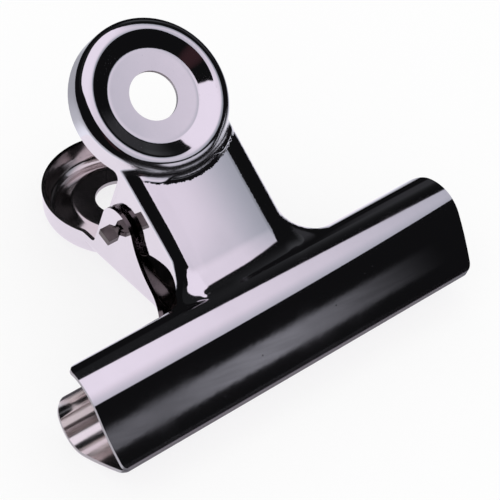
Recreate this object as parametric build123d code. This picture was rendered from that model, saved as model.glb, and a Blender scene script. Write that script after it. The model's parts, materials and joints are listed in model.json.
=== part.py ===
from build123d import *
import math
import os

# Sizes in millimetres, angles in degrees.
# The clip is drawn upright: X along the jaws, Y from the lips up to the thumb discs,
# Z out of the front plate. It is then laid on its back, with Z up.

# Sheet
sheet_thickness = 0.7

# Jaws
jaw_width = 75.0
jaw_end_bow = 1.0
jaw_bulge_radius = 6.8
jaw_bulge_height = 12.3
jaw_slope = 40.15
jaw_curl = 58.0
lip_radius = 0.4
lip_gap = 0.1
lip_corner_radius = 1.3
jaw_corner_radius = 2.5

# Necks
front_neck_width = 22.6
neck_bend_radius = 2.5
neck_root_radius = 7.5

# Thumb discs
handle_tilt = 19.0
handle_length = 32.97
disc_diameter = 27.6
disc_hole_diameter = 8.76
rim_inner_radius = 1.5
rim_outer_radius = 2.2
rim_height = 1.7
rim_slope = 31.0
rim_foot_radius = 0.8
disc_base_radius = 1.75
skirt_depth = 3.8
skirt_flare = 1.0

# Hinge ears
pivot_height = 37.4
ear_radius = 4.2
ear_clearance = 0.45
ear_corner_radius = 1.2
window_half_gap = 4.94
window_above_jaw = 1.4

# Pivot pin
pin_diameter = 1.8
pin_clearance = 0.05
pin_tab_length = 2.8
pin_tab_height = 2.8
pin_tab_thickness = 1.4
pin_tab_taper = 0.7

# Torsion spring
wire_diameter = 1.4
coil_turns = 5
coil_clearance = 1.1
turn_gap = 0.5
leg_clearance = 0.1
leg_bend_radius = 2.5
leg_end_below_hole = 1.2

# Sizes worked out from the ones above
pin_radius = pin_diameter / 2
disc_radius = disc_diameter / 2
hole_radius = disc_hole_diameter / 2
lip_face = lip_gap / 2 + sheet_thickness
front_neck_half = front_neck_width / 2
rear_neck_half = front_neck_half + ear_clearance + sheet_thickness
slope = math.radians(jaw_slope)
curl = math.radians(jaw_curl)
tilt = math.radians(handle_tilt)
coil_radius = pin_radius + coil_clearance + wire_diameter / 2
coil_pitch = wire_diameter + turn_gap


def around(centre, radius, angle):
    """Point at an angle, in radians, round a centre."""
    return (centre[0] + radius * math.cos(angle), centre[1] + radius * math.sin(angle))


# Side view places are (Y, Z) pairs.
# The straight slope of a jaw is tangent to the lip's hollow and to the bulge
slope_rise = math.tan(slope) * (jaw_bulge_height - (jaw_bulge_radius + lip_radius) * math.sin(slope))
bulge_depth = lip_face + lip_radius - (lip_radius + jaw_bulge_radius) * math.cos(slope) + slope_rise
bulge_centre = (jaw_bulge_height, bulge_depth)
hollow_centre = (0.0, lip_face + lip_radius)
jaw_top = jaw_bulge_height + jaw_bulge_radius

# The handle leaves the jaw where the curled edge ends
curl_edge = around(bulge_centre, jaw_bulge_radius, math.pi / 2 - curl)
disc_height = curl_edge[0] + handle_length * math.cos(tilt)
disc_reach = curl_edge[1] + handle_length * math.sin(tilt)

# Blocks and cutters are drawn past the faces that they meet
beyond = 5.0
beyond_edge = 0.05
beyond_lip = math.radians(20.0)
reach = 2 * (jaw_width + disc_height)
outer_floor = -(ear_radius + 2 * sheet_thickness)
inner_floor = outer_floor - sheet_thickness

# Frame of the thumb disc: its centre lies on the outer face, its Z axis points outwards
disc_plane = Plane(
    origin=(0, disc_height, disc_reach),
    x_dir=(1, 0, 0),
    z_dir=(0, -math.sin(tilt), math.cos(tilt)),
)
handle_axis = Axis((0, 0, 0), (0, math.cos(tilt), math.sin(tilt)))
crest_radius = disc_radius - rim_outer_radius
inner_rim_centre = (crest_radius, rim_height - rim_inner_radius)
outer_rim_centre = (crest_radius, rim_height - rim_outer_radius)


def handle_point(along, out):
    """Side view (Y, Z) of a point on the handle, from the centre of the thumb disc."""
    y = disc_height + along * math.cos(tilt) - out * math.sin(tilt)
    z = disc_reach + along * math.sin(tilt) + out * math.cos(tilt)
    return (y, z)


def side_prism(outline, half_width):
    """Solid of a closed side view, the same distance to both sides of the middle."""
    face = Plane.YZ * make_face(outline)
    return extrude(face, half_width, both=True)


def above_floor(solid, floor):
    """The part of a solid that lies in front of a floor behind the mid plane."""
    return solid & Pos(0, 0, floor + reach / 2) * Box(reach, reach, reach)


def jaw_block(inset, half_width):
    """Everything behind the outer face of a jaw, with the face moved inwards by the inset."""
    hollow = lip_radius + inset
    bulge = jaw_bulge_radius - inset
    deep = inner_floor - beyond
    lip = around(hollow_centre, hollow, -math.pi / 2 - beyond_lip)
    lip_end = (-beyond, lip[1])
    slope_start = around(hollow_centre, hollow, slope - math.pi / 2)
    slope_end = around(bulge_centre, bulge, slope + math.pi / 2)
    top = around(bulge_centre, bulge, 0.0)
    outline = Line(lip_end, lip)
    outline += ThreePointArc(lip, around(hollow_centre, hollow, -math.pi / 2), slope_start)
    outline += Line(slope_start, slope_end)
    outline += ThreePointArc(slope_end, around(bulge_centre, bulge, slope / 2 + math.pi / 4), top)
    outline += Polyline(top, (top[0], deep), (-beyond, deep), lip_end)
    return side_prism(outline, half_width)


def neck_block(inset, half_width):
    """Everything behind the outer face of a neck, with its two long bends rounded."""
    low = handle_point(-handle_length - neck_root_radius, -inset)
    high = handle_point(sheet_thickness, -inset)
    depth = (high[1] - inner_floor) / math.cos(tilt) + beyond
    high_deep = handle_point(sheet_thickness, -inset - depth)
    outline = Polyline(low, high, high_deep, (low[0], high_deep[1]), low)
    block = side_prism(outline, half_width - inset)
    return fillet(block.edges().filter_by(handle_axis), neck_bend_radius - inset)


def disc_block(inset):
    """Everything behind the outer face of a thumb disc: flat, raised rim and round skirt."""
    steep = math.radians(rim_slope)
    flare = math.radians(skirt_flare)
    both = rim_inner_radius + rim_foot_radius
    rise = inner_rim_centre[1] - rim_foot_radius + both * math.cos(steep)
    run = rise / math.tan(steep) + both * math.sin(steep)
    foot_centre = (crest_radius - run, rim_foot_radius)
    foot = rim_foot_radius + inset
    inner_rim = rim_inner_radius - inset
    outer_rim = rim_outer_radius - inset
    depth = (disc_reach + disc_radius - inner_floor) / math.cos(tilt) + beyond
    foot_start = around(foot_centre, foot, -math.pi / 2)
    foot_end = around(foot_centre, foot, steep - math.pi / 2)
    rim_start = around(inner_rim_centre, inner_rim, steep + math.pi / 2)
    rim_mid = around(inner_rim_centre, inner_rim, steep / 2 + math.pi / 2)
    crest = around(inner_rim_centre, inner_rim, math.pi / 2)
    outer_mid = around(outer_rim_centre, outer_rim, (math.pi / 2 + flare) / 2)
    rim_end = around(outer_rim_centre, outer_rim, flare)
    skirt_end = (rim_end[0] + depth * math.tan(flare), rim_end[1] - depth)
    outline = Line((0, -inset), foot_start)
    outline += ThreePointArc(foot_start, around(foot_centre, foot, steep / 2 - math.pi / 2), foot_end)
    outline += Line(foot_end, rim_start)
    outline += ThreePointArc(rim_start, rim_mid, crest)
    outline += ThreePointArc(crest, outer_mid, rim_end)
    outline += Polyline(rim_end, skirt_end, (0, skirt_end[1]), (0, -inset))
    solid = revolve(Plane.XZ * make_face(outline), Axis.Z)
    return disc_plane * solid


def plate_block(inset, neck_half, jaw_half, floor):
    """Jaw, neck and thumb disc as one block, with rounded inner corners."""
    jaw = above_floor(jaw_block(inset, jaw_half), floor)
    neck = above_floor(neck_block(inset, neck_half), floor)
    disc = above_floor(disc_block(inset), floor)
    lower = jaw + neck
    lower = fillet(new_edges(jaw, neck, combined=lower), neck_root_radius + inset)
    whole = lower + disc
    return fillet(new_edges(lower, disc, combined=whole), disc_base_radius + inset)


def side_outline():
    """Side view kept of a plate: jaw to its curled edge, ear with its lobe, skirt to its back edge."""
    edge_end = around(bulge_centre, jaw_bulge_radius + sheet_thickness / 2, math.pi / 2 - curl)
    window_height = jaw_top + window_above_jaw
    spread = pivot_height - window_height
    window_radius = (spread**2 + window_half_gap**2 - ear_radius**2) / (2 * (window_half_gap + ear_radius))
    window_centre = (window_height, window_half_gap - window_radius)
    window_top = (window_height, window_half_gap)
    toward_pivot = math.atan2(-window_centre[1], spread)
    window_mid = around(window_centre, window_radius, (toward_pivot + math.pi / 2) / 2)
    lobe_start = around(window_centre, window_radius, toward_pivot)
    lobe_nose = (pivot_height, -ear_radius)
    lobe_top = (pivot_height + ear_radius, 0.0)
    along = (lobe_top[0] - disc_height - skirt_depth * math.sin(tilt)) / math.cos(tilt)
    ear_corner = handle_point(along, -skirt_depth)
    skirt_end = handle_point(reach, -skirt_depth)
    outline = Polyline((-beyond, -beyond), bulge_centre, edge_end, window_top)
    outline += ThreePointArc(window_top, window_mid, lobe_start)
    outline += ThreePointArc(lobe_start, lobe_nose, lobe_top)
    outline += Polyline(lobe_top, ear_corner, skirt_end, (-beyond, skirt_end[1]), (-beyond, -beyond))
    face = make_face(outline)
    corner = face.vertices().sort_by_distance((ear_corner[0], ear_corner[1], 0))[0]
    return fillet(corner, ear_corner_radius)


def front_outline():
    """Front view kept of a plate: jaw with bowed ends and round corners, and room for the handle."""
    half = jaw_width / 2
    top = curl_edge[0] + beyond_edge
    edge = Line((half, top), (-half, top))
    edge += ThreePointArc((-half, top), (-half - jaw_end_bow, top / 2), (-half, 0))
    edge += Line((-half, 0), (half, 0))
    edge += ThreePointArc((half, 0), (half + jaw_end_bow, top / 2), (half, top))
    jaw = make_face(edge)
    jaw = fillet(jaw.vertices().sort_by(Axis.Y)[:2], lip_corner_radius)
    jaw = fillet(jaw.vertices().sort_by(Axis.Y)[-2:], jaw_corner_radius)
    handle = Pos(0, jaw_bulge_height + reach / 2) * Rectangle(disc_diameter + 2 * neck_root_radius, reach)
    return jaw + handle


def clip_plate(neck_half):
    """One stamped plate, drawn as the front one."""
    widest = jaw_width / 2 + jaw_end_bow
    outer = plate_block(0.0, neck_half, widest + beyond, outer_floor)
    inner = plate_block(sheet_thickness, neck_half, widest + 2 * beyond, inner_floor)
    plate = outer - inner
    plate &= extrude(Plane.YZ * side_outline(), reach, both=True)
    plate &= extrude(front_outline(), reach, both=True)
    plate -= disc_plane * Cylinder(hole_radius, 2 * beyond)
    plate -= Pos(0, pivot_height, 0) * Rot(Y=90) * Cylinder(pin_radius + pin_clearance, reach)
    return plate


def pivot_pin():
    """Round pin with both ends pressed flat outside the rear ears."""
    shank_half = rear_neck_half + pin_clearance
    tab_end = rear_neck_half + pin_tab_length
    pin = Rot(Y=90) * Cylinder(pin_radius, 2 * shank_half)
    for side in (1, -1):
        face_plane = Plane(origin=(side * shank_half, 0, 0), x_dir=(0, 1, 0), z_dir=(side, 0, 0))
        flat = Rectangle(pin_tab_height, pin_tab_thickness)
        taper = loft([face_plane * Circle(pin_radius), face_plane.offset(pin_tab_taper) * flat])
        tab = extrude(face_plane.offset(pin_tab_taper) * flat, tab_end - shank_half - pin_tab_taper)
        pin += taper + tab
    return Pos(0, pivot_height, 0) * pin


def coil_frame(turn):
    """Point and direction of the wire after so many turns from the rear leg."""
    angle = math.pi - 2 * math.pi * turn
    side = coil_pitch * (turn - coil_turns / 2)
    advance = coil_pitch / (2 * math.pi)
    point = Vector(side, *around((pivot_height, 0.0), coil_radius, angle))
    direction = Vector(advance, coil_radius * math.sin(angle), -coil_radius * math.cos(angle))
    return point, direction.normalized()


def biarc(start, start_direction, end, end_direction):
    """Two tangent arcs from one point and direction to the next."""
    chord = end - start
    both = start_direction + end_direction
    spread = 1 - start_direction.dot(end_direction)
    lean = chord.dot(both)
    reach = (math.sqrt(lean**2 + 2 * spread * chord.dot(chord)) - lean) / (2 * spread)
    before = start + start_direction * reach
    after = end - end_direction * reach
    joint = (before + after) / 2
    first = Edge.make_tangent_arc(start, start_direction, joint)
    second = Edge.make_tangent_arc(joint, after - before, end)
    return [first, second]


def leg_route(side):
    """Corners of one leg, from the coil to the inner face of its neck and up along it."""
    start, direction = coil_frame(coil_turns if side > 0 else 0)
    out = -(sheet_thickness + leg_clearance + wire_diameter / 2)
    along = (start.Y - disc_height + out * math.sin(tilt)) / math.cos(tilt)
    corner_y, corner_z = handle_point(along, out)
    end_y, end_z = handle_point(-(hole_radius + leg_end_below_hole), out)
    corner = start + direction * (side * corner_z / direction.Z)
    end = Vector(corner.X, end_y, side * end_z)
    return [start, corner, end]


def torsion_spring():
    """Coil round the pin with one leg behind each neck, as one unbroken wire."""
    rear_leg = FilletPolyline(*reversed(leg_route(-1)), radius=leg_bend_radius)
    front_leg = FilletPolyline(*leg_route(1), radius=leg_bend_radius)
    quarters = [quarter / 4 for quarter in range(4 * coil_turns + 1)]
    edges = list(rear_leg.edges())
    for turn, following in zip(quarters, quarters[1:]):
        edges += biarc(*coil_frame(turn), *coil_frame(following))
    edges += front_leg.edges()
    path = Wire(edges)
    section = Plane(origin=path @ 0, z_dir=path % 0) * Circle(wire_diameter / 2)
    return path, sweep(section, path=path)


def least_gap(path):
    """Least clear distance of the wire to itself, measured on points along it."""
    count = 40 * coil_turns
    points = [path.position_at(step / count) for step in range(count + 1)]
    apart = math.pi * coil_radius
    spacing = path.length / count
    gap = path.length
    for index, point in enumerate(points):
        for other in points[index + math.ceil(apart / spacing):]:
            gap = min(gap, (point - other).length - wire_diameter)
    return gap


front_plate = clip_plate(front_neck_half)
rear_plate = mirror(clip_plate(rear_neck_half), about=Plane.XY)
pin = pivot_pin()
wire_path, spring = torsion_spring()
print("least gap between turns:", round(least_gap(wire_path), 3))
print("wire volume:", round(spring.volume, 2), "section times length:",
      round(math.pi * wire_diameter**2 / 4 * wire_path.length, 2))

# Laid on its back, the clip rests on the bulge of the rear jaw and the rim of the rear disc
rim_top = handle_point(*outer_rim_centre)
rest_run = rim_top[0] - bulge_centre[0]
rest_rise = rim_top[1] - bulge_centre[1]
rest_drop = math.asin((jaw_bulge_radius - rim_outer_radius) / math.hypot(rest_run, rest_rise))
lie = math.atan2(rest_rise, rest_run) - rest_drop
turned = Rot(X=math.degrees(lie))
box = Compound([turned * front_plate, turned * rear_plate]).bounding_box()
laid = Pos(0, -(box.min.Y + box.max.Y) / 2, -box.min.Z) * turned

os.makedirs("parts", exist_ok=True)
nodes = {
    "front_plate": front_plate,
    "rear_plate": rear_plate,
    "pivot_pin": pin,
    "torsion_spring": spring,
}
for name, piece in nodes.items():
    export_step(laid * piece, f"parts/{name}.step")

pivot = laid * Pos(0, pivot_height, 0)
print("pivot axis at:", tuple(pivot.position), "lies turned by:", math.degrees(lie))
for name, side in (("front", 1), ("rear", -1)):
    centre = laid * Pos(0, disc_height, side * disc_reach)
    print(name, "hole centre, outer face:", tuple(centre.position))
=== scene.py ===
import json
import math

import bmesh
import bpy
from mathutils import Matrix, Vector
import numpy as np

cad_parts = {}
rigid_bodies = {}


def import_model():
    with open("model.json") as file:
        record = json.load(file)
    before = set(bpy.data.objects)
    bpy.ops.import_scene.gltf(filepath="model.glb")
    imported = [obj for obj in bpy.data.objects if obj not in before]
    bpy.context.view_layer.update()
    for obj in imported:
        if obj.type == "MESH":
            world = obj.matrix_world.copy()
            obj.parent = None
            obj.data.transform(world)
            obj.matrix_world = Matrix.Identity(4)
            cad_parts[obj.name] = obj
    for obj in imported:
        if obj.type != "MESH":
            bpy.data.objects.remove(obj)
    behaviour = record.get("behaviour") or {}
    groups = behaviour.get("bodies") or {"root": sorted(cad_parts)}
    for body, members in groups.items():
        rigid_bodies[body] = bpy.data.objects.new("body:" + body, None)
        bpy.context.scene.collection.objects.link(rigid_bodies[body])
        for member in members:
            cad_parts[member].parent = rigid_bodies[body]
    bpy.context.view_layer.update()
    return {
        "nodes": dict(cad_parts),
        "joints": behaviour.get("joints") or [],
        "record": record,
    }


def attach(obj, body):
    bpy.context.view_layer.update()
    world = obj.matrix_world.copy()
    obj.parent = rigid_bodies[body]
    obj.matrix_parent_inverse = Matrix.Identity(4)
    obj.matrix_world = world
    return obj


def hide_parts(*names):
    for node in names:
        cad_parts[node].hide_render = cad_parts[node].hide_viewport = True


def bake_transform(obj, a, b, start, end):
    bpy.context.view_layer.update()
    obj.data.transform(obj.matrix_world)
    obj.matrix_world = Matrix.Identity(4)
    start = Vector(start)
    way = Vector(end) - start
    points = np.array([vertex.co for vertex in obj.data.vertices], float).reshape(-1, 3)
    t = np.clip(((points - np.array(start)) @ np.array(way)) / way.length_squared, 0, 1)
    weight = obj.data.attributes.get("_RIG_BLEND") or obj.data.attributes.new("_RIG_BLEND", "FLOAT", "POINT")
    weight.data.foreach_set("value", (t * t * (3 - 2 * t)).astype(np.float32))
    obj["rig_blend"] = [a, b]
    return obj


bl_info = {
    "name": "Bulldog Clip",
    "version": (1, 0, 0),
    "blender": (4, 5, 0),
    "location": "View3D > Sidebar > Clip",
    "description": "Dresses a sheet-metal bulldog clip: plated jaws, pivot pin, torsion spring and studio stage",
    "category": "Object",
}

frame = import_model()

MM = 0.001
HINGE = frame["joints"][0]
PIVOT = Vector(HINGE["pos_m"])
REAR = HINGE["parent"]
FRONT = HINGE["child"]
HOLES = {mount["name"]: mount for mount in frame["record"]["mounts"]}
FRONT_AXIS = Vector(HOLES["front_hanging_hole"]["axis"])
REAR_AXIS = Vector(HOLES["rear_hanging_hole"]["axis"])
# The clip's own upright axes, laid on its back: Y from the lips to the discs, Z out of the front plate
UPRIGHT_Z = (FRONT_AXIS - REAR_AXIS).normalized()
UPRIGHT_Y = UPRIGHT_Z.cross(Vector((1.0, 0.0, 0.0)))
LIE = math.atan2(UPRIGHT_Y.z, UPRIGHT_Y.y)
HANDLE_LEAN = FRONT_AXIS.dot(UPRIGHT_Z)
DISC_ABOVE_PIN = (Vector(HOLES["front_hanging_hole"]["pos_m"]) - PIVOT).dot(UPRIGHT_Y)
# Senses in which the coil winds along the pin and a bend of the wire turns about its axis
COIL_HAND = -1.0
BEND_HAND = -1.0

# A point on the bulge of a jaw: across, along and out from the pin
BULGE = (25.0 * MM, -25.1 * MM, 8.5 * MM)
SIDE_SHARPNESS = math.radians(30.0)
SHEET_SMOOTH = 30.0
PIN_SMOOTH = 35.0
WIRE_SMOOTH = 40.0
PIN_EDGE = 0.14 * MM
PIN_EDGE_ANGLE = math.radians(40.0)
WIRE_END_EDGE = 0.16 * MM
WIRE_SIDES = 24
COIL_STEPS = 48
BEND_STEPS = 12

# Soft borders on a plate, each from its start to its end, in millimetres.
# Along the clip, above the pin
HANDLE_FOOT = (-20.0, -16.0)
NECK_FOOT = (-18.0, -8.0)
NECK_FOOT_STEP = 6.0
SHELF_FOOT = (-22.4, -21.6)
SHELF_TOP_PAST_NECK = (-19.4, -18.8)
SHELF_TOP_BESIDE_NECK = (-15.5, -13.5)
ROOT_FOOT = (-22.2, -21.6)
ROOT_TOP = (-20.5, -20.0)
LIP_TOP = (-37.0, -36.6)
# Up a handle, from the centre of its disc
DISC_FOOT = (-9.0, -6.0)
# Outwards from the centre of a disc
FLAT_EDGE = (7.5, 8.3)
CONE_EDGE = (10.0, 11.0)
BASE_START = (12.8, 13.1)
BASE_END = (14.2, 15.0)
DISC_EDGE = (13.5, 15.0)
HEM_START = (14.1, 14.6)
HEM_END = (15.4, 15.6)
# Across the clip, from its middle
NECK_MIDDLE = (-2.0, 2.0)
LEAN_BORDER = (-9.0, 5.0)
ROLL_BORDER = (6.8, 10.0)
BEND_BORDER = (6.5, 9.5)
CREASED_RIGHT = (5.0, 8.0)
BASE_LEFT = (-8.0, -4.0)
BASE_RIGHT = (3.0, 8.0)
SHELF_PAST_NECK = (-13.5, -11.5)
SHELF_BESIDE_NECK = (-11.4, -10.0)
ROOT_RIGHT = (-6.0, -3.0)
HEM_LEFT = (-9.6, -8.6)
HEM_THIN_LEFT = (-7.0, -3.5)
HEM_THIN_RIGHT = (4.0, 7.0)
# What the hem loses of its width at its ends, and how far it strays
HEM_THINNER_LEFT = 0.8
HEM_THINNER_RIGHT = 0.6
CRUMPLE = 0.9
# Depths of marks in the metal, in millimetres
CREASE_DEPTH = 0.004
CREASE_DEPTH_RIGHT = 0.03
PIT_DEPTH = 0.004
PIN_DENT_DEPTH = 0.012
WIRE_GRAIN_DEPTH = 0.002
# Roughness that marks, sides and edges add to the plating
CLOUD_DULL = 0.03
PIT_DULL = 0.15
BASE_DULL = 0.16
INSIDE_DULL = 0.07
EDGE_DULL = 0.35
LIP_DULL = 0.2
# Shares of a colour that are left in its dim patches
CLOUD_SHADE = 0.93
PIN_SHADE = 0.8
WIRE_SHADE = 0.72

WHITE = (1.0, 1.0, 1.0)
FLOOR_SIZE = 12.0
FLOOR_GLOW = 0.75
FLOOR_IN_MIRRORS = (0.97, 0.91, 1.0)
# The silk in the tent's roof: its turn about the vertical, its middle and reach in a unit direction, its light
SILK_TURN = math.radians(20.9)
SILK_CENTRE = (0.022, -0.065)
SILK_REACH = (0.535, 0.735)
SILK_TINT = (0.97, 0.90, 1.015)
SILK_DIM_TINT = (0.85, 0.90, 1.015)
SILK_DIM_EAST = 0.62
SILK_DIM_SOUTH = 0.38
# The dark cloth of the tent's sides, with a sheen and one warm spot
CLOTH_LEVEL = 0.006
CLOTH_LEVEL_NORTH = 0.008
CLOTH_SHEEN = 0.075
CLOTH_TINT = (0.95, 1.0, 1.06)
WARM_SPOT = (-0.46, -0.65)
WARM_LEVEL = 0.03
WARM_TINT = (1.0, 0.36, 0.45)
# The ring of dark card, in millimetres above the floor, and the light of its parts
STRIPE_FOOT = (23.3, 23.9)
STRIPE_TOP = (27.3, 28.7)
STRIPE_SAG = 0.0012
STRIPE_LEVEL = 0.125
STRIPE_LEVEL_RIGHT = 0.085
CARD_FOOT = (0.8, 1.2)
CARD_FOOT_HEIGHT = 0.5 * MM
CARD_FOOT_SHARE = 0.5
CARD_LEVEL = 0.006
PATCH_LEVEL = 0.8
SIDE_LEVEL = 0.03
FOOT_LEVEL = 0.98
CARD_TINT = (0.95, 0.97, 1.06)

SENSOR_WIDTH = 36.0
CAMERA_PLACE = Vector((-0.169688, -0.201032, 0.282794))
CAMERA_RIGHT = Vector((0.77692, -0.62653, 0.06208))
CAMERA_BACK = Vector((-0.46736, -0.50783, 0.72367))


class PlatingSettings(bpy.types.PropertyGroup):
    """Finish of the plated sheet and pin."""

    sheet_colour: bpy.props.FloatVectorProperty(
        name="Sheet Colour", description="Tone of the bright plating on the stamped plates",
        default=(0.80, 0.77, 0.81), subtype="COLOR", size=3, min=0.0, max=1.0)
    pin_colour: bpy.props.FloatVectorProperty(
        name="Pin Colour", description="Tone of the plating on the pivot pin",
        default=(0.125, 0.11, 0.105), subtype="COLOR", size=3, min=0.0, max=1.0)
    inside_colour: bpy.props.FloatVectorProperty(
        name="Inside Colour", description="Tone of the thinner plating on the inner side of the sheet",
        default=(0.82, 0.78, 0.77), subtype="COLOR", size=3, min=0.0, max=1.0)
    # Painted shade: the inner plating's tone darkened inside the thumb discs, standing for the shade between the
    # plates
    disc_inside_shade: bpy.props.FloatVectorProperty(
        name="Disc Inside Colour", description="Tone of the plating inside the thumb discs",
        default=(0.66, 0.61, 0.61), subtype="COLOR", size=3, min=0.0, max=1.0)
    # Painted shade: a near-black tone on the inner side of the hinge ears and necks stands for the shade between
    # the two plates
    ear_painted_shade: bpy.props.FloatVectorProperty(
        name="Ear Colour", description="Tone of the thin plating inside the hinge ears and necks",
        default=(0.14, 0.12, 0.122), subtype="COLOR", size=3, min=0.0, max=1.0)
    # The lips are rubbed duller through their roughness; their dark tone is painted shade where the two jaws meet
    lip_painted_shade: bpy.props.FloatVectorProperty(
        name="Lip Colour", description="Tone of the rubbed edges of the lips",
        default=(0.2, 0.19, 0.2), subtype="COLOR", size=3, min=0.0, max=1.0)
    edge_colour: bpy.props.FloatVectorProperty(
        name="Edge Colour", description="Tone of the cut edges of the sheet",
        default=(0.46, 0.44, 0.45), subtype="COLOR", size=3, min=0.0, max=1.0)
    polish: bpy.props.FloatProperty(
        name="Polish", description="Roughness of the clean plating", default=0.045, min=0.0, max=1.0)
    ripple: bpy.props.FloatProperty(
        name="Ripple", description="Height of the slow waves that pressing leaves in the sheet, in millimetres",
        default=0.0025, min=0.0, max=0.05)
    crown: bpy.props.FloatProperty(
        name="Crown Radius", description="Radius of the slight crown that pressing leaves across the necks",
        default=125.0 * MM, unit="LENGTH")
    dish: bpy.props.FloatProperty(
        name="Dish Radius", description="Radius of the slight hollow of the thumb discs' flats",
        default=300.0 * MM, unit="LENGTH")
    roll: bpy.props.FloatProperty(
        name="Roll", description="Drop of the necks' faces towards their bends, in millimetres",
        default=0.35, min=0.0, max=1.0)
    lean: bpy.props.FloatProperty(
        name="Lean", description="Slope by which one half of the necks' faces leans back",
        default=0.07, min=0.0, max=0.2)
    settle: bpy.props.FloatProperty(
        name="Settle", description="Slope by which the discs' cones settle after pressing",
        default=0.03, min=0.0, max=0.2)
    base: bpy.props.FloatProperty(
        name="Base", description="Slope by which the foot of the discs eases towards the necks",
        default=0.5, min=0.0, max=1.0)
    shelf: bpy.props.FloatProperty(
        name="Shelf", description="Slope by which the jaws' upper edges fall away beside the necks",
        default=0.3, min=0.0, max=1.0)
    hem: bpy.props.FloatProperty(
        name="Hem", description="Slope by which the necks rise to the foot of the discs",
        default=0.55, min=0.0, max=2.0)
    streak: bpy.props.FloatProperty(
        name="Streak", description="Height of the rolling lines on the jaw faces, in millimetres",
        default=0.00012, min=0.0, max=0.05)


class SpringSettings(bpy.types.PropertyGroup):
    """Sizes of the torsion spring."""

    wire_diameter: bpy.props.FloatProperty(
        name="Wire Diameter", description="Diameter of the spring wire", default=1.4 * MM, unit="LENGTH")
    coil_radius: bpy.props.FloatProperty(
        name="Coil Radius", description="Radius of the coil at the middle of the wire",
        default=2.7 * MM, unit="LENGTH")
    coil_pitch: bpy.props.FloatProperty(
        name="Coil Pitch", description="Distance from one turn to the next", default=1.9 * MM, unit="LENGTH")
    coil_turns: bpy.props.IntProperty(
        name="Turns", description="Number of turns round the pin", default=5, min=1, max=20)
    leg_bend: bpy.props.FloatProperty(
        name="Leg Bend", description="Radius at which each leg turns up along its neck",
        default=2.5 * MM, unit="LENGTH")
    leg_below_hole: bpy.props.FloatProperty(
        name="Leg End", description="Distance of a leg's end below the centre of the hanging hole",
        default=5.58 * MM, unit="LENGTH")
    leg_under_face: bpy.props.FloatProperty(
        name="Leg Depth", description="Depth of the wire's middle under the neck's outer face",
        default=1.5 * MM, unit="LENGTH")
    sheet: bpy.props.FloatProperty(
        name="Sheet", description="Thickness of the sheet that the legs lie behind",
        default=0.7 * MM, unit="LENGTH")
    twist: bpy.props.FloatProperty(
        name="Twist Length", description="Length of the coil that takes up the turn of the hinge",
        default=8.0 * MM, unit="LENGTH")
    wire_colour: bpy.props.FloatVectorProperty(
        name="Wire Colour", description="Tone of the drawn spring wire",
        default=(0.45, 0.42, 0.39), subtype="COLOR", size=3, min=0.0, max=1.0)


class StageSettings(bpy.types.PropertyGroup):
    """Camera, floor and light tent."""

    lens: bpy.props.FloatProperty(
        name="Lens", description="Focal length on a 36 mm sensor", default=157.908, unit="CAMERA")
    floor_colour: bpy.props.FloatVectorProperty(
        name="Floor Colour", description="Colour of the studio floor",
        default=(0.96, 0.96, 0.96), subtype="COLOR", size=3, min=0.0, max=1.0)
    tent_radius: bpy.props.FloatProperty(
        name="Tent Radius", description="Radius of the light tent over the clip", default=3.0, unit="LENGTH")
    card_radius: bpy.props.FloatProperty(
        name="Card Radius", description="Radius of the ring of dark card that stands round the clip",
        default=0.1, unit="LENGTH")
    card_height: bpy.props.FloatProperty(
        name="Card Height", description="Height of the ring of dark card", default=0.075, unit="LENGTH")


class Shade:
    """A node socket with arithmetic: an expression on it adds the nodes that work it out."""

    def __init__(self, tree, socket=None):
        self.tree = tree
        self.socket = socket

    def node(self, kind, settings=None, sockets=None, output=0):
        """New node of a kind, with its settings made first and then its sockets set or linked."""
        made = self.tree.nodes.new(kind)
        for name, value in (settings or {}).items():
            setattr(made, name, value)
        for name, value in (sockets or {}).items():
            if isinstance(value, Shade):
                self.tree.links.new(value.socket, made.inputs[name])
            else:
                made.inputs[name].default_value = value
        return Shade(self.tree, made.outputs[output])

    def maths(self, operation, *values):
        return self.node("ShaderNodeMath", {"operation": operation}, dict(enumerate(values)))

    def __add__(self, other):
        return self.maths("ADD", self, other)

    def __radd__(self, other):
        return self.maths("ADD", other, self)

    def __sub__(self, other):
        return self.maths("SUBTRACT", self, other)

    def __rsub__(self, other):
        return self.maths("SUBTRACT", other, self)

    def __mul__(self, other):
        return self.maths("MULTIPLY", self, other)

    def __rmul__(self, other):
        return self.maths("MULTIPLY", other, self)

    def __truediv__(self, other):
        return self.maths("DIVIDE", self, other)

    def smooth(self, start, end):
        """0 before start, 1 after end, with a smooth step between."""
        return self.node(
            "ShaderNodeMapRange", {"interpolation_type": "SMOOTHSTEP"},
            {"Value": self, "From Min": start, "From Max": end})

    def fade(self, start, end):
        """1 before start, 0 after end, with a smooth step between."""
        return 1 - self.smooth(start, end)

    def blend(self, first, second):
        """Colour that goes from the first to the second as this value goes from 0 to 1."""
        return self.node("ShaderNodeMix", {"data_type": "RGBA"}, {0: self, 6: first, 7: second}, output=2)

    def turn(self, first, second):
        """Normal that goes from the first to the second as this value goes from 0 to 1."""
        return self.node("ShaderNodeMix", {"data_type": "VECTOR"}, {0: self, 4: first, 5: second}, output=1)

    def times(self, colour):
        """A colour scaled by this value."""
        return self.node("ShaderNodeVectorMath", {"operation": "SCALE"}, {0: colour, "Scale": self})


def material(name):
    """New empty material and its shade."""
    made = bpy.data.materials.new(name)
    made.use_nodes = True
    made.node_tree.nodes.clear()
    return made, Shade(made.node_tree)


def shown_as(made, surface):
    """Gives a material its surface."""
    output = made.node_tree.nodes.new("ShaderNodeOutputMaterial")
    made.node_tree.links.new(surface.socket, output.inputs["Surface"])
    return made


def metal(shade, colour, roughness, normal):
    """Bare metal surface."""
    return shade.node(
        "ShaderNodeBsdfPrincipled", {},
        {"Base Color": colour, "Metallic": 1.0, "Roughness": roughness, "Normal": normal})


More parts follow.
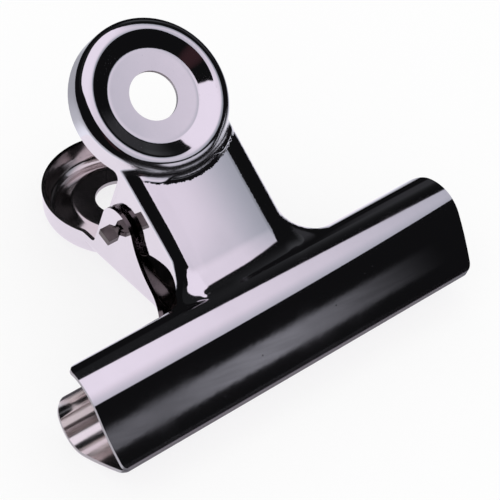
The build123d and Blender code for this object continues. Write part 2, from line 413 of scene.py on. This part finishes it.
def glow(shade, colour):
    """Surface that shines in a colour by itself."""
    return shade.node("ShaderNodeEmission", {}, {"Color": colour, "Strength": 1.0})


def opaque(colour, share=1.0):
    """A share of a colour, with full alpha."""
    return (*(share * part for part in colour), 1.0)


def along_axes(shade, place):
    """The three parts of a place."""
    return (shade.node("ShaderNodeSeparateXYZ", {}, {"Vector": place}, output=axis) for axis in "XYZ")


def millimetres(shade):
    """Object coordinates in millimetres."""
    place = shade.node("ShaderNodeTexCoord", output="Object")
    return shade.node("ShaderNodeVectorMath", {"operation": "SCALE"}, {0: place, "Scale": 1.0 / MM})


def bump(shade, height, normal=None):
    """Normal of a surface with a height in millimetres on it."""
    sockets = {"Height": height, "Distance": MM, "Strength": 1.0}
    if normal:
        sockets["Normal"] = normal
    return shade.node("ShaderNodeBump", {}, sockets)


def noise(shade, place, scale, detail=2.0, stretch=None, turn=(0.0, 0.0, 0.0)):
    """Noise on a place, turned and stretched if asked."""
    if stretch:
        place = shade.node(
            "ShaderNodeMapping", {"vector_type": "TEXTURE"},
            {"Vector": place, "Rotation": turn, "Scale": stretch})
    return shade.node("ShaderNodeTexNoise", {}, {"Vector": place, "Scale": scale, "Detail": detail})


def pits(shade, place, scale, share, size):
    """Small round specks in some of the cells of a grid."""
    cells = shade.node("ShaderNodeTexVoronoi", {}, {"Vector": place, "Scale": scale})
    chance = shade.node("ShaderNodeTexVoronoi", {}, {"Vector": place, "Scale": scale}, output="Color")
    red = shade.node("ShaderNodeSeparateColor", {}, {"Color": chance})
    return cells.fade(0.4 * size, size) * red.fade(share, share + 0.02)


class PlatePlaces:
    """Where a point lies on a plate, in millimetres, and how crumpled the sheet is there."""

    def __init__(self, shade):
        self.place = millimetres(shade)
        self.across = shade.node("ShaderNodeSeparateXYZ", {}, {"Vector": self.place}, output="X")
        self.beside = shade.maths("ABSOLUTE", self.across)
        height = shade.node(
            "ShaderNodeVectorMath", {"operation": "DOT_PRODUCT"}, {0: self.place, 1: UPRIGHT_Y},
            output="Value")
        self.above_pin = height - PIVOT.dot(UPRIGHT_Y) / MM
        self.up_disc = (self.above_pin - DISC_ABOVE_PIN / MM) / HANDLE_LEAN
        self.from_disc = shade.maths("SQRT", self.across * self.across + self.up_disc * self.up_disc)
        self.on_handle = self.above_pin.smooth(*HANDLE_FOOT)
        self.off_disc = self.from_disc.smooth(*DISC_EDGE)
        self.on_base = (
            self.up_disc.fade(*DISC_FOOT) * self.from_disc.smooth(*BASE_START) * self.from_disc.fade(*BASE_END))
        self.creases = noise(shade, self.place, 2.4)


def disc_normal(shade, settings, at):
    """Normal inside a disc's rim and on its base: hollow flat, settled cone and eased base."""
    plain = shade.node("ShaderNodeNewGeometry", output="Normal")
    dish = bump(shade, at.from_disc * at.from_disc * (0.5 * MM / settings.dish))
    cone = bump(shade, at.from_disc * -settings.settle)
    base = bump(shade, at.from_disc * settings.base)
    in_rim = at.from_disc.fade(*FLAT_EDGE).turn(at.from_disc.fade(*CONE_EDGE).turn(plain, cone), dish)
    eased = at.on_base * at.across.smooth(*BASE_LEFT) * at.across.fade(*BASE_RIGHT)
    return eased.turn(in_rim, base)


def shelf_normal(shade, settings, at, normal):
    """Normal of the jaw's upper edge left of the neck and at the neck's root, on another normal."""
    shelf = bump(shade, at.across * settings.shelf)
    lift = bump(shade, at.above_pin * (0.5 * settings.shelf))
    past_neck = at.above_pin.fade(*SHELF_TOP_PAST_NECK) * at.across.fade(*SHELF_PAST_NECK)
    beside_neck = at.above_pin.fade(*SHELF_TOP_BESIDE_NECK) * at.across.fade(*SHELF_BESIDE_NECK)
    on_shelf = at.above_pin.smooth(*SHELF_FOOT) * shade.maths("MAXIMUM", past_neck, beside_neck)
    on_root = (
        at.above_pin.smooth(*ROOT_FOOT) * at.above_pin.fade(*ROOT_TOP)
        * at.across.smooth(*SHELF_PAST_NECK) * at.across.fade(*ROOT_RIGHT))
    return on_shelf.turn(on_root.turn(normal, lift), shelf)


def neck_normal(shade, settings, at, normal):
    """Normal of a neck's face, crowned and leaning, and of the crumpled hem below the disc, on another normal."""
    roll = at.beside.smooth(*ROLL_BORDER) * settings.roll
    camber = at.across * at.across * (-0.5 * MM / settings.crown) - roll
    crown = at.across.smooth(*LEAN_BORDER).turn(
        bump(shade, camber - at.above_pin * settings.lean), bump(shade, camber))
    step = at.across.smooth(*NECK_MIDDLE) * NECK_FOOT_STEP
    on_neck = (at.above_pin + step).smooth(*NECK_FOOT) * at.off_disc
    rise = bump(shade, at.from_disc * -settings.hem)
    crumpled = at.from_disc + at.creases * CRUMPLE - 0.5 * CRUMPLE
    thinned = (
        at.across.fade(*HEM_THIN_LEFT) * HEM_THINNER_LEFT
        + at.across.smooth(*HEM_THIN_RIGHT) * HEM_THINNER_RIGHT)
    on_hem = (
        at.up_disc.fade(*DISC_FOOT) * at.across.smooth(*HEM_LEFT)
        * (at.from_disc - thinned).smooth(*HEM_START) * crumpled.fade(*HEM_END))
    return on_hem.turn(on_neck.turn(normal, crown), rise)


def plated_sheet(settings):
    """Bright plating on pressed sheet: crowned necks, press ripples, creased bends, rolling lines and pits, with
    painted shade on the inner side of the ears, necks and discs and along the lips.
    """
    made, shade = material("plated_sheet")
    at = PlatePlaces(shade)
    pressed = disc_normal(shade, settings, at)
    pressed = shelf_normal(shade, settings, at, pressed)
    pressed = neck_normal(shade, settings, at, pressed)
    ripple = noise(shade, at.place, 0.45)
    cloud = noise(shade, at.place, 0.12, detail=3.0)
    lines = noise(shade, at.place, 1.0, detail=3.0, stretch=(14.0, 0.16, 0.16), turn=(0.0, 0.12, 0.1))
    speck = pits(shade, at.place, scale=0.55, share=0.08, size=0.08)
    on_bend = at.beside.smooth(*BEND_BORDER) * at.on_handle * at.off_disc
    crease_depth = CREASE_DEPTH + CREASE_DEPTH_RIGHT * at.across.smooth(*CREASED_RIGHT)
    relief = (
        ripple * settings.ripple + lines * (1 - at.on_handle) * settings.streak
        + at.creases * on_bend * crease_depth - speck * PIT_DEPTH)
    inside = shade.node("ShaderNodeAttribute", {"attribute_name": "inside"}, output="Fac")
    edge = shade.node("ShaderNodeAttribute", {"attribute_name": "cut_edge"}, output="Fac")
    lip = at.above_pin.fade(*LIP_TOP)
    roughness = (
        settings.polish + cloud.smooth(0.45, 0.75) * CLOUD_DULL + speck * PIT_DULL + at.on_base * BASE_DULL
        + inside * INSIDE_DULL + edge * EDGE_DULL + lip * LIP_DULL)
    outer = (cloud.smooth(0.35, 0.8) * 0.5).blend(
        opaque(settings.sheet_colour), opaque(settings.sheet_colour, CLOUD_SHADE))
    # On the jaws the inner side keeps the inner plating's tone; inside the discs that tone is darkened as painted
    # shade
    inner = at.on_handle.blend(opaque(settings.inside_colour), opaque(settings.disc_inside_shade))
    # Painted shade: the inner side of the ears and necks is darkened to near black
    shaded_inside = (at.on_handle * at.off_disc).blend(inner, opaque(settings.ear_painted_shade))
    sides = edge.blend(inside.blend(outer, shaded_inside), opaque(settings.edge_colour))
    # Painted shade along the lips, where the two jaws meet
    colour = lip.blend(sides, opaque(settings.lip_painted_shade))
    return shown_as(made, metal(shade, colour, roughness, bump(shade, relief, pressed)))


def plated_pin(settings):
    """Plated pin with pressed ends: the same plating, a little duller, with press marks."""
    made, shade = material("plated_pin")
    place = millimetres(shade)
    dents = noise(shade, place, 1.6, detail=3.0)
    cloud = noise(shade, place, 0.7)
    roughness = 0.1 + cloud.smooth(0.4, 0.7) * 0.1
    colour = cloud.smooth(0.35, 0.7).blend(opaque(settings.pin_colour), opaque(settings.pin_colour, PIN_SHADE))
    return shown_as(made, metal(shade, colour, roughness, bump(shade, dents * PIN_DENT_DEPTH)))


def spring_wire(settings):
    """Drawn steel wire: grey, satin, with faint patches."""
    made, shade = material("spring_wire")
    place = millimetres(shade)
    cloud = noise(shade, place, 0.8, detail=4.0)
    grain = noise(shade, place, 9.0)
    roughness = 0.22 + cloud.smooth(0.35, 0.7) * 0.12
    colour = cloud.smooth(0.3, 0.75).blend(
        opaque(settings.wire_colour), opaque(settings.wire_colour, WIRE_SHADE))
    return shown_as(made, metal(shade, colour, roughness, bump(shade, grain * WIRE_GRAIN_DEPTH)))


def welded_copy(node, name):
    """Copy of a CAD node's mesh with its doubled points merged, left selected in edit mode."""
    bpy.ops.object.select_all(action="DESELECT")
    copy = bpy.data.objects.new(name, frame["nodes"][node].data.copy())
    bpy.context.scene.collection.objects.link(copy)
    bpy.context.view_layer.objects.active = copy
    copy.select_set(True)
    bpy.ops.mesh.customdata_custom_splitnormals_clear()
    bpy.ops.object.mode_set(mode="EDIT")
    bpy.ops.mesh.select_all(action="SELECT")
    bpy.ops.mesh.remove_doubles(threshold=0.0005 * MM)
    return copy


def select_points(piece, test):
    """In edit mode, selects only the points that pass a test on their place."""
    bpy.ops.mesh.select_all(action="DESELECT")
    mesh = bmesh.from_edit_mesh(piece.data)
    for point in mesh.verts:
        point.select = test(point.co)
    mesh.select_flush(True)
    bmesh.update_edit_mesh(piece.data)


def select_side(piece, hole, outward):
    """In edit mode, selects one more side of a plate, from its hanging hole and the bulge of its jaw."""
    mesh = bmesh.from_edit_mesh(piece.data)
    axis = Vector(hole["axis"])
    lift = UPRIGHT_Z * math.copysign(1.0, axis.dot(UPRIGHT_Z))
    bulge = PIVOT + Vector((BULGE[0], 0.0, 0.0)) + UPRIGHT_Y * BULGE[1] + lift * BULGE[2]
    for start, way in ((Vector(hole["pos_m"]), axis * outward), (bulge, lift * outward)):
        facing = [face for face in mesh.faces if face.normal.dot(way) > 0.9]
        nearest = min(facing, key=lambda face: (face.calc_center_median() - start).length)
        nearest.select = True
    bmesh.update_edit_mesh(piece.data)
    bpy.ops.mesh.faces_select_linked_flat(sharpness=SIDE_SHARPNESS)


def mark_selected(piece, name):
    """In edit mode, marks the selected faces by an attribute."""
    bpy.ops.geometry.attribute_add(name=name, domain="FACE", data_type="FLOAT")
    piece.data.attributes.active = piece.data.attributes[name]
    bpy.ops.mesh.attribute_set(value_float=1.0)


def smooth_by_area(piece, angle):
    """Smooth shading up to an angle, with large flat faces kept flat."""
    bpy.ops.object.shade_smooth_by_angle(angle=math.radians(angle))
    weighted = piece.modifiers.new("weighted", "WEIGHTED_NORMAL")
    weighted.keep_sharp = True
    bpy.ops.object.modifier_apply(modifier="weighted")


def finish_piece(piece, node, finish):
    """Gives a piece its finish and hides the CAD node that it stands in for."""
    piece.data.materials.clear()
    piece.data.materials.append(finish)
    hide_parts(node)


class CLIP_OT_plates(bpy.types.Operator):
    """Dresses both stamped plates in bright plating, thinner on their inner sides, with painted shade inside the
    ears, necks and discs and along the lips
    """

    bl_idname = "clip.plates"
    bl_label = "Plated Plates"

    def execute(self, context):
        finish = plated_sheet(context.scene.clip_plating)
        for node, body, hole in (
                ("front_plate", FRONT, "front_hanging_hole"), ("rear_plate", REAR, "rear_hanging_hole")):
            plate = welded_copy(node, f"{node}_sheet")
            bpy.ops.mesh.select_mode(type="FACE")
            bpy.ops.mesh.select_all(action="DESELECT")
            select_side(plate, HOLES[hole], -1.0)
            mark_selected(plate, "inside")
            select_side(plate, HOLES[hole], 1.0)
            bpy.ops.mesh.select_all(action="INVERT")
            mark_selected(plate, "cut_edge")
            bpy.ops.mesh.select_mode(type="VERT")
            bpy.ops.object.mode_set(mode="OBJECT")
            smooth_by_area(plate, SHEET_SMOOTH)
            finish_piece(plate, node, finish)
            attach(plate, body)
        return {"FINISHED"}


class CLIP_OT_pin(bpy.types.Operator):
    """Dresses the pivot pin, with the edges of its pressed ends broken"""

    bl_idname = "clip.pin"
    bl_label = "Pivot Pin"

    def execute(self, context):
        pin = welded_copy("pivot_pin", "pivot_pin_plated")
        bpy.ops.mesh.dissolve_limited(angle_limit=math.radians(0.5))
        bpy.ops.object.mode_set(mode="OBJECT")
        edges = pin.modifiers.new("edges", "BEVEL")
        edges.width = PIN_EDGE
        edges.segments = 3
        edges.limit_method = "ANGLE"
        edges.angle_limit = PIN_EDGE_ANGLE
        bpy.ops.object.modifier_apply(modifier="edges")
        smooth_by_area(pin, PIN_SMOOTH)
        finish_piece(pin, "pivot_pin", plated_pin(context.scene.clip_plating))
        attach(pin, REAR)
        return {"FINISHED"}


def pull_wire(offset):
    """Extrudes the selected ring of the wire by an offset."""
    bpy.ops.mesh.extrude_region_move(TRANSFORM_OT_translate={"value": offset})


def bend_wire(centre, axis, angle):
    """Carries the selected ring of the wire round a bend."""
    bpy.ops.mesh.spin(steps=BEND_STEPS, angle=angle, center=centre, axis=axis)


class CLIP_OT_spring(bpy.types.Operator):
    """Winds the torsion spring round the pin, with one leg behind each neck"""

    bl_idname = "clip.spring"
    bl_label = "Torsion Spring"

    def execute(self, context):
        settings = context.scene.clip_spring
        half = settings.coil_pitch * settings.coil_turns / 2
        below = -UPRIGHT_Y * settings.coil_radius
        across = Vector((1.0, 0.0, 0.0))
        bpy.ops.object.select_all(action="DESELECT")
        bpy.ops.mesh.primitive_circle_add(
            vertices=WIRE_SIDES, radius=settings.wire_diameter / 2, location=PIVOT + below - across * half,
            rotation=(LIE, 0.0, 0.0))
        spring = context.object
        spring.name = "torsion_spring_wire"
        context.scene.cursor.location = PIVOT
        bpy.ops.object.origin_set(type="ORIGIN_CURSOR")
        context.scene.cursor.location = (0.0, 0.0, 0.0)
        bpy.ops.object.transform_apply(location=False, rotation=True, scale=True)
        coil = spring.modifiers.new("coil", "SCREW")
        coil.axis = "X"
        coil.angle = COIL_HAND * 2 * math.pi
        coil.screw_offset = settings.coil_pitch
        coil.iterations = settings.coil_turns
        coil.steps = COIL_STEPS
        coil.render_steps = COIL_STEPS
        bpy.ops.object.modifier_apply(modifier="coil")
        bpy.ops.object.transform_apply()

        lead = Vector((settings.coil_pitch / (2 * math.pi), 0.0, 0.0)) + UPRIGHT_Z * settings.coil_radius
        bpy.ops.object.mode_set(mode="EDIT")
        for side, hole in ((1.0, HOLES["front_hanging_hole"]), (-1.0, HOLES["rear_hanging_hole"])):
            way = side * lead.normalized()
            start = PIVOT + below + across * side * half
            axis = Vector(hole["axis"])
            up_neck = side * axis.cross(across)
            outer_face = Vector(hole["pos_m"]) + axis * settings.sheet / 2
            end = outer_face - axis * settings.leg_under_face - up_neck * settings.leg_below_hole
            run = ((end - PIVOT).dot(UPRIGHT_Y) + settings.coil_radius) / up_neck.dot(UPRIGHT_Y)
            rise = abs((end - up_neck * run - PIVOT).dot(UPRIGHT_Z))
            corner = start + way * (rise / abs(way.dot(UPRIGHT_Z)))
            turn = way.angle(up_neck)
            trim = settings.leg_bend * math.tan(turn / 2)
            inward = (up_neck - way * way.dot(up_neck)).normalized()
            select_points(
                spring, lambda place: (place - start).length < 0.6 * settings.wire_diameter
                and abs((place - start).dot(UPRIGHT_Z)) < 0.01 * MM)
            pull_wire(corner - way * trim - start)
            bend_wire(corner - way * trim + inward * settings.leg_bend, way.cross(up_neck), BEND_HAND * turn)
            pull_wire(up_neck * (run - trim))
            bpy.ops.mesh.edge_face_add()
            bpy.ops.mesh.bevel(offset=WIRE_END_EDGE, segments=3, affect="EDGES")
        bpy.ops.mesh.select_all(action="SELECT")
        bpy.ops.mesh.remove_doubles(threshold=0.001 * MM)
        bpy.ops.mesh.normals_make_consistent(inside=False)
        bpy.ops.object.mode_set(mode="OBJECT")
        bpy.ops.object.shade_smooth_by_angle(angle=math.radians(WIRE_SMOOTH))
        finish_piece(spring, "torsion_spring", spring_wire(settings))
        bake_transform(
            spring, REAR, FRONT,
            start=PIVOT - across * settings.twist / 2, end=PIVOT + across * settings.twist / 2)
        return {"FINISHED"}


def floor_finish(settings):
    """White floor that keeps a faint shadow; the eye sees it as white card, and mirrors as lilac card."""
    made, shade = material("studio_floor")
    matte = shade.node("ShaderNodeBsdfDiffuse", {}, {"Color": opaque(settings.floor_colour)})
    mirrored = shade.node("ShaderNodeLightPath", output="Is Glossy Ray")
    seen = (
        shade.node("ShaderNodeLightPath", output="Is Camera Ray") + mirrored
        + shade.node("ShaderNodeLightPath", output="Is Transmission Ray"))
    card = glow(shade, mirrored.blend(opaque(WHITE), opaque(FLOOR_IN_MIRRORS)))
    return shown_as(made, shade.node("ShaderNodeMixShader", {}, {0: seen * FLOOR_GLOW, 1: matte, 2: card}))


def tent_finish():
    """Inside of the light tent: a bright silk overhead, dark cloth round the sides."""
    made, shade = material("light_tent")
    place = shade.node("ShaderNodeTexCoord", output="Object")
    toward = shade.node("ShaderNodeVectorMath", {"operation": "NORMALIZE"}, {0: place})
    east, north, up = along_axes(shade, toward)
    across = east * math.cos(SILK_TURN) + north * math.sin(SILK_TURN)
    along = north * math.cos(SILK_TURN) - east * math.sin(SILK_TURN)
    wide = (across - SILK_CENTRE[0]) / SILK_REACH[0]
    deep = (along - SILK_CENTRE[1]) / SILK_REACH[1]
    outward = wide * wide * wide * wide + deep * deep * deep * deep
    silk = outward.fade(0.92, 1.06) * up.smooth(0.0, 0.1)
    level = (1 - SILK_DIM_EAST * east.smooth(0.36, 0.68)) * (1 - SILK_DIM_SOUTH * north.fade(-0.80, -0.17))
    tint = level.smooth(0.4, 0.9).blend(opaque(SILK_DIM_TINT), opaque(SILK_TINT))
    sheen = east.smooth(0.42, 0.62) * north.smooth(0.2, 0.5) * up.fade(0.35, 0.7)
    dark = CLOTH_LEVEL + CLOTH_LEVEL_NORTH * north.smooth(0.3, 0.7) + CLOTH_SHEEN * sheen
    from_spot = [part - middle for part, middle in zip((east, north), WARM_SPOT)]
    warm = sum(part * part for part in from_spot).fade(0.0, 0.03) * WARM_LEVEL
    cloth = warm.blend(dark.times(CLOTH_TINT), opaque(WARM_TINT))
    return shown_as(made, glow(shade, silk.blend(cloth, level.times(tint))))


def card_finish():
    """Dark card round the clip: a grey stripe before the jaws, a white patch, a grey side and a fading foot."""
    made, shade = material("dark_card")
    place = millimetres(shade)
    x, y, z = along_axes(shade, place)
    level = z + x * x * STRIPE_SAG
    band = level.smooth(*STRIPE_FOOT) * level.fade(*STRIPE_TOP) * y.fade(-60.0, -40.0)
    bright = STRIPE_LEVEL + STRIPE_LEVEL_RIGHT * x.smooth(0.0, 26.0)
    brushed = noise(shade, place, 1.0, detail=4.0, stretch=(9.0, 9.0, 0.25), turn=(0.0, 0.2, 0.0))
    stripe = band * x.smooth(-85.0, -58.0) * bright * x.fade(28.0, 64.0) * (0.3 + 1.4 * brushed)
    patch = x.smooth(71.0, 79.0) * y.fade(-45.0, -25.0) * z.smooth(24.0, 27.0) * z.fade(34.0, 36.0)
    side = x.smooth(70.0, 88.0) * y.smooth(4.0, 26.0) * z.smooth(38.0, 48.0)
    outward = shade.maths("SQRT", x * x + y * y)
    foot = z.fade(*CARD_FOOT) * (1 - 0.42 * outward.smooth(50.0, 66.0) - 0.16 * outward.smooth(66.0, 86.0))
    shown = CARD_LEVEL + stripe + PATCH_LEVEL * patch + SIDE_LEVEL * side + FOOT_LEVEL * foot
    return shown_as(made, glow(shade, shown.times(CARD_TINT)))


def seen_in_mirrors(piece):
    """Keeps a piece of the set out of sight and shadow, so that only glossy surfaces show it."""
    piece.visible_camera = False
    piece.visible_diffuse = False
    piece.visible_shadow = False
    piece.visible_volume_scatter = False


def stage_piece(name, finish):
    """Names the piece of the set that was just added and gives it its finish."""
    piece = bpy.context.object
    piece.name = name
    piece.data.materials.append(finish)
    return piece


def add_card_foot(card):
    """Adds the narrow foot that the ring of card stands on, turned inwards."""
    bpy.ops.object.mode_set(mode="EDIT")
    select_points(card, lambda place: place.z < 0.001 * MM)
    bpy.ops.mesh.extrude_edges_move(TRANSFORM_OT_translate={"value": (0.0, 0.0, CARD_FOOT_HEIGHT)})
    bpy.ops.transform.resize(value=(CARD_FOOT_SHARE, CARD_FOOT_SHARE, 1.0), center_override=(0.0, 0.0, 0.0))
    bpy.ops.object.mode_set(mode="OBJECT")


def add_camera(scene, focal_length):
    """Adds the camera that looks at the clip from the left, above the lips."""
    lens = bpy.data.cameras.new("camera")
    lens.lens = focal_length
    lens.sensor_width = SENSOR_WIDTH
    lens.clip_start = 0.01
    lens.clip_end = 50.0
    camera = bpy.data.objects.new("camera", lens)
    scene.collection.objects.link(camera)
    back = CAMERA_BACK.normalized()
    up = back.cross(CAMERA_RIGHT.normalized()).normalized()
    turn = Matrix((up.cross(back), up, back)).transposed().to_4x4()
    camera.matrix_world = Matrix.Translation(CAMERA_PLACE) @ turn
    scene.camera = camera


def add_surround(scene):
    """Lights the scene from a white surround."""
    world = bpy.data.worlds.new("white_surround")
    world.use_nodes = True
    sockets = world.node_tree.nodes["Background"].inputs
    sockets["Color"].default_value = opaque(WHITE)
    sockets["Strength"].default_value = 1.0
    scene.world = world


class CLIP_OT_stage(bpy.types.Operator):
    """Sets the floor, the light tent, the ring of dark card, the white surround and the camera"""

    bl_idname = "clip.stage"
    bl_label = "Studio Stage"

    def execute(self, context):
        settings = context.scene.clip_stage
        bpy.ops.object.select_all(action="DESELECT")
        bpy.ops.mesh.primitive_plane_add(size=FLOOR_SIZE)
        floor = stage_piece("studio_floor", floor_finish(settings))

        bpy.ops.object.select_all(action="DESELECT")
        bpy.ops.mesh.primitive_uv_sphere_add(segments=96, ring_count=64, radius=settings.tent_radius)
        tent = stage_piece("light_tent", tent_finish())
        bpy.ops.object.shade_smooth()
        seen_in_mirrors(tent)

        bpy.ops.object.select_all(action="DESELECT")
        bpy.ops.mesh.primitive_cylinder_add(
            vertices=128, radius=settings.card_radius, depth=settings.card_height, end_fill_type="NOTHING",
            location=(0.0, 0.0, settings.card_height / 2))
        card = stage_piece("dark_card", card_finish())
        bpy.ops.object.transform_apply()
        add_card_foot(card)
        bpy.ops.object.shade_smooth()
        seen_in_mirrors(card)

        add_surround(context.scene)
        context.scene.view_settings.view_transform = "Standard"
        add_camera(context.scene, settings.lens)
        return {"FINISHED"}


class CLIP_PT_panel(bpy.types.Panel):
    """Lists the clip's settings and its operators"""

    bl_label = "Bulldog Clip"
    bl_space_type = "VIEW_3D"
    bl_region_type = "UI"
    bl_category = "Clip"

    def draw(self, context):
        for group in (context.scene.clip_plating, context.scene.clip_spring, context.scene.clip_stage):
            box = self.layout.box()
            for name in group.__annotations__:
                box.prop(group, name)
        for operator in OPERATORS:
            self.layout.operator(operator.bl_idname)


OPERATORS = (CLIP_OT_plates, CLIP_OT_pin, CLIP_OT_spring, CLIP_OT_stage)
GROUPS = (PlatingSettings, SpringSettings, StageSettings)
CLASSES = (*GROUPS, *OPERATORS, CLIP_PT_panel)


def register():
    for made in CLASSES:
        bpy.utils.register_class(made)
    bpy.types.Scene.clip_plating = bpy.props.PointerProperty(type=PlatingSettings)
    bpy.types.Scene.clip_spring = bpy.props.PointerProperty(type=SpringSettings)
    bpy.types.Scene.clip_stage = bpy.props.PointerProperty(type=StageSettings)


def unregister():
    del bpy.types.Scene.clip_stage
    del bpy.types.Scene.clip_spring
    del bpy.types.Scene.clip_plating
    for made in reversed(CLASSES):
        bpy.utils.unregister_class(made)


def main():
    register()
    bpy.ops.clip.plates()
    bpy.ops.clip.pin()
    bpy.ops.clip.spring()
    bpy.ops.clip.stage()


if __name__ == "__main__":
    main()
